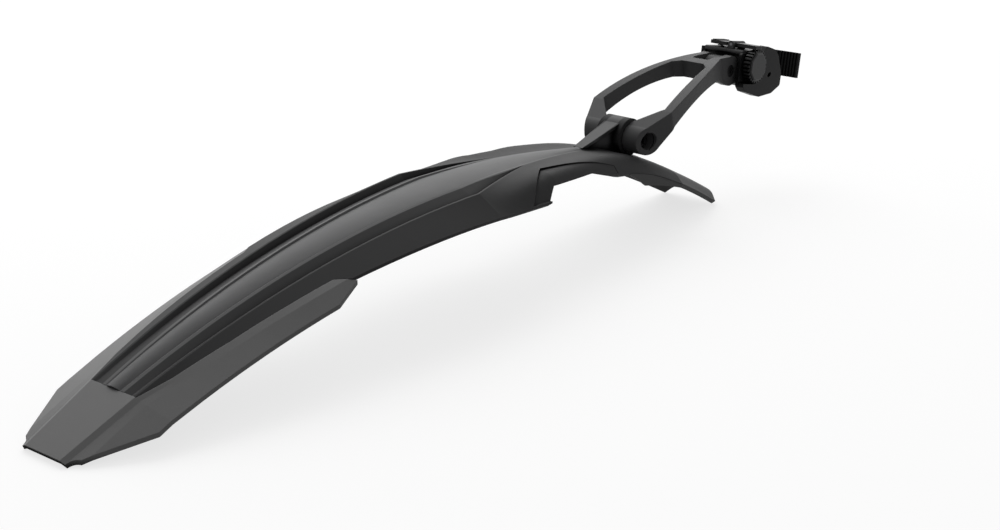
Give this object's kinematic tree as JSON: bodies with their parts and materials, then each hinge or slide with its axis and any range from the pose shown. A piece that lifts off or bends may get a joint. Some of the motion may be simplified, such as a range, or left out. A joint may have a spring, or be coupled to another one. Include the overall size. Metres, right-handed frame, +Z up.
{
  "type": "seatpost bicycle mudguard",
  "caption": "Arched rear mudguard blade with moulded tail and nose flaps, hung by a looped tilting arm from a strap clamp for a round seatpost.",
  "frame": {"origin": "middle of the bounding box at the surface that the tail and the nose rest on", "axes": "+X along the blade towards the clamp, +Y across the blade to the strap bolt's side, +Z up"},
  "size_m": [0.6606, 0.097, 0.1059],
  "materials": {
    "blade_plastic": "fine moulded grain, satin",
    "flap_plastic": "fine moulded grain, matte",
    "arm_plastic": "fine spark-eroded grain, satin",
    "clamp_plastic": "fine moulded grain, satin",
    "cap_plastic": "smooth satin",
    "strap_rubber": "matte",
    "pad_rubber": "matte",
    "insert_brass": "turned",
    "black_steel": "black oxide",
    "bright_steel": "drawn wire"
  },
  "bodies": {
    "clamp": {"clamp_head": "arm_plastic", "saddle_pad": "pad_rubber", "clamp_strap": "strap_rubber", "strap_bolt": "black_steel", "strap_washer": "black_steel", "cover_plate": "clamp_plastic", "dial_washer": "black_steel", "lock_lever_pin": "bright_steel", "lock_spring": "bright_steel"},
    "arm": {"support_arm": "arm_plastic", "lower_pivot_bolt": "black_steel", "lower_pivot_nut": "black_steel", "upper_pivot_bolt": "black_steel", "upper_pivot_nut": "black_steel"},
    "blade": {"blade_shell": "blade_plastic", "tail_flap": "flap_plastic", "front_flap": "flap_plastic"},
    "dial": {"tension_dial": "clamp_plastic", "dial_insert": "insert_brass", "dial_cap": "cap_plastic"},
    "lever": {"lock_lever": "clamp_plastic"}
  },
  "joints": [
    {"name": "arm_tilt", "type": "hinge", "parent": "clamp", "child": "arm", "pos_m": [0.24843, 0, 0.08774], "axis": [0, 1, 0], "range_deg": [-45, 45]},
    {"name": "blade_tilt", "type": "hinge", "parent": "arm", "child": "blade", "pos_m": [0.13444, 0, 0.06372], "axis": [0, 1, 0], "range_deg": [-25, 50]},
    {"name": "dial_turn", "type": "hinge", "parent": "clamp", "child": "dial", "pos_m": [0.26546, -0.0182, 0.0893], "axis": [0, 1, 0], "continuous": true},
    {"name": "lever_press", "type": "hinge", "parent": "clamp", "child": "lever", "pos_m": [0.26774, -0.004, 0.10221], "axis": [-0.9848, 0, 0.1736], "range_deg": [0, 5], "stiffness_Nm_per_rad": 0.05, "springref_deg": -2.86, "deforming": ["lock_spring"]}
  ]
}
